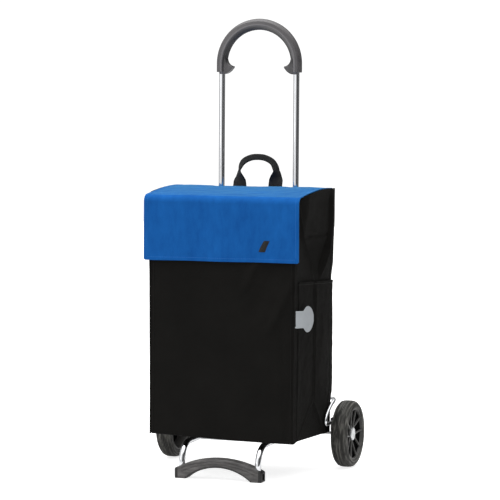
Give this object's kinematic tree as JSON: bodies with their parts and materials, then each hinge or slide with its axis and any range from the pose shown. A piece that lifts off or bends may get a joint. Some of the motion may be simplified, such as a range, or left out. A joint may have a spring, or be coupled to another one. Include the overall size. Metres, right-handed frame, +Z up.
{
  "type": "folding shopping trolley",
  "caption": "Two-wheeled shopping trolley: tall soft bag with a lid on a chromed tube frame with a loop handle and a fold-up foot.",
  "frame": {"origin": "on the ground, under the middle of the trolley's box", "axes": "+Z up, -Y to the front where the foot and the lid's flap are, +X to the right seen from the front view's left-to-right"},
  "size_m": [0.469, 0.3565, 1.028],
  "materials": {
    "chrome_tube": "polished chrome plate on steel tube",
    "zinc_steel": "bright zinc plate",
    "grip_plastic": "fine matt moulding, dark grey",
    "foot_plastic": "matt moulding, dark grey",
    "black_plastic": "satin moulding, black",
    "tyre": "matt rubber with a ribbed tread",
    "silver_cap": "satin silver",
    "black_fabric": "tight plain weave, matt",
    "blue_fabric": "short-napped suede-like fabric",
    "webbing": "ribbed webbing, black",
    "label": "plain silver-grey tape, blank",
    "board": "pressed board, matt"
  },
  "bodies": {
    "frame": {"main_tube": "chrome_tube", "grip": "grip_plastic", "knuckle_left": "black_plastic", "knuckle_right": "black_plastic", "knuckle_screw_left": "zinc_steel", "knuckle_screw_right": "zinc_steel", "axle_rod": "zinc_steel", "axle_bow": "chrome_tube", "axle_holder_left": "black_plastic", "axle_holder_right": "black_plastic", "bow_bracket_left": "black_plastic", "bow_bracket_right": "black_plastic", "bracket_screw_left_upper": "zinc_steel", "bracket_screw_left_lower": "zinc_steel", "bracket_screw_right_upper": "zinc_steel", "bracket_screw_right_lower": "zinc_steel", "pivot_pin_left": "zinc_steel", "pivot_pin_right": "zinc_steel", "axle_washer_left": "zinc_steel", "axle_washer_right": "zinc_steel", "axle_clip_left": "zinc_steel", "axle_clip_right": "zinc_steel", "bag_body": "black_fabric", "back_board": "board", "side_pocket_left": "black_fabric", "side_pocket_right": "black_fabric", "front_piping_left": "black_fabric", "front_piping_right": "black_fabric", "bag_loop_left_upper": "webbing", "bag_loop_left_lower": "webbing", "bag_loop_right_upper": "webbing", "bag_loop_right_lower": "webbing", "bag_patch_left": "webbing", "bag_patch_right": "webbing", "label_tab": "label", "carry_strap": "webbing"},
    "foot": {"foot_arm_left": "chrome_tube", "foot_arm_right": "chrome_tube", "carrier_bar": "chrome_tube", "foot_arch": "foot_plastic", "foot_screw_left": "zinc_steel", "foot_screw_right": "zinc_steel", "base_board": "board"},
    "wheel_left": {"tyre_left": "tyre", "wheel_hub_left": "black_plastic", "wheel_bush_left": "zinc_steel", "hub_cap_left": "silver_cap"},
    "wheel_right": {"tyre_right": "tyre", "wheel_hub_right": "black_plastic", "wheel_bush_right": "zinc_steel", "hub_cap_right": "silver_cap"},
    "lid": {"lid_cover": "blue_fabric", "lid_board": "board", "lid_patch_left": "webbing", "lid_patch_right": "webbing"}
  },
  "joints": [
    {"name": "wheel_left_spin", "type": "hinge", "parent": "frame", "child": "wheel_left", "pos_m": [-0.21475, 0.102, 0.0765], "axis": [1, 0, 0], "continuous": true},
    {"name": "wheel_right_spin", "type": "hinge", "parent": "frame", "child": "wheel_right", "pos_m": [0.21475, 0.102, 0.0765], "axis": [1, 0, 0], "continuous": true},
    {"name": "foot_fold", "type": "hinge", "parent": "frame", "child": "foot", "pos_m": [0, 0.053, 0.0765], "axis": [-1, 0, 0], "range_deg": [0, 90], "deforming": ["bag_body"]},
    {"name": "lid_hinge", "type": "hinge", "parent": "frame", "child": "lid", "pos_m": [0, 0.07776, 0.63687], "axis": [1, 0, 0], "range_deg": [-86, 0]}
  ]
}
